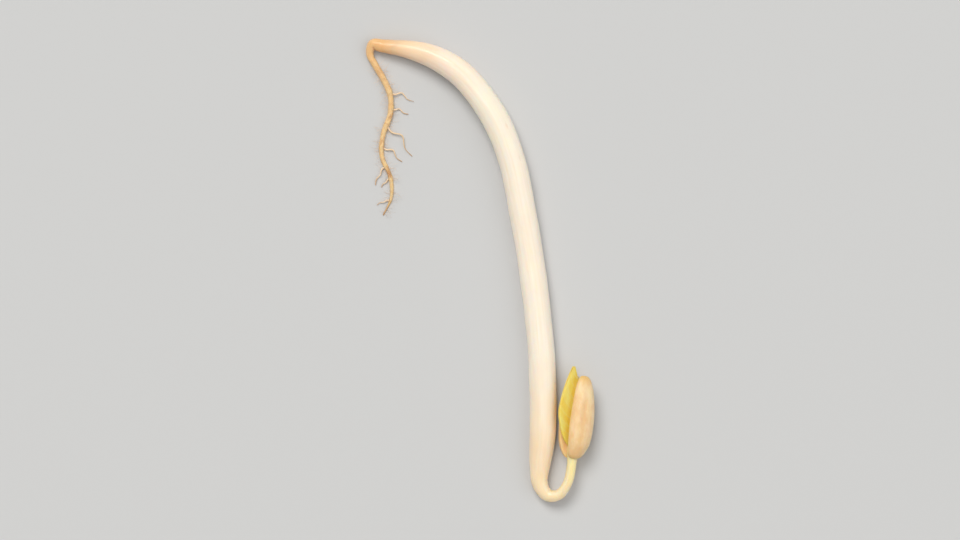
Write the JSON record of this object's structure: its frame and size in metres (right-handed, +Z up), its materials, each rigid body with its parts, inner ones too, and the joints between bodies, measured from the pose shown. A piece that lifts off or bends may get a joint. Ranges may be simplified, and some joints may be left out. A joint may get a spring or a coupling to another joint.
{
  "type": "mung bean sprout",
  "caption": "Single mung bean sprout lying on its side: white hooked stem, cream seed leaves with yellow first leaves between them, and a thin tan root with side rootlets.",
  "frame": {"origin": "on the surface that the sprout lies on, under the middle of its outline seen from above", "axes": "+Y along the straight part of the stem, away from the hook; +X to the side that the head lies on; +Z up from the surface"},
  "size_m": [0.0224, 0.0454, 0.0035],
  "materials": {
    "stem": "moist, waxy, slightly see-through white plant tissue",
    "root": "matte tan plant tissue",
    "seed_leaf": "satin cream to pale yellow plant tissue",
    "first_leaf": "satin bright yellow leaf"
  },
  "bodies": {
    "root": {"stem": "stem", "taproot": "root", "seed_leaf_upper": "seed_leaf", "seed_leaf_lower": "seed_leaf", "first_leaves": "first_leaf"}
  },
  "joints": []
}
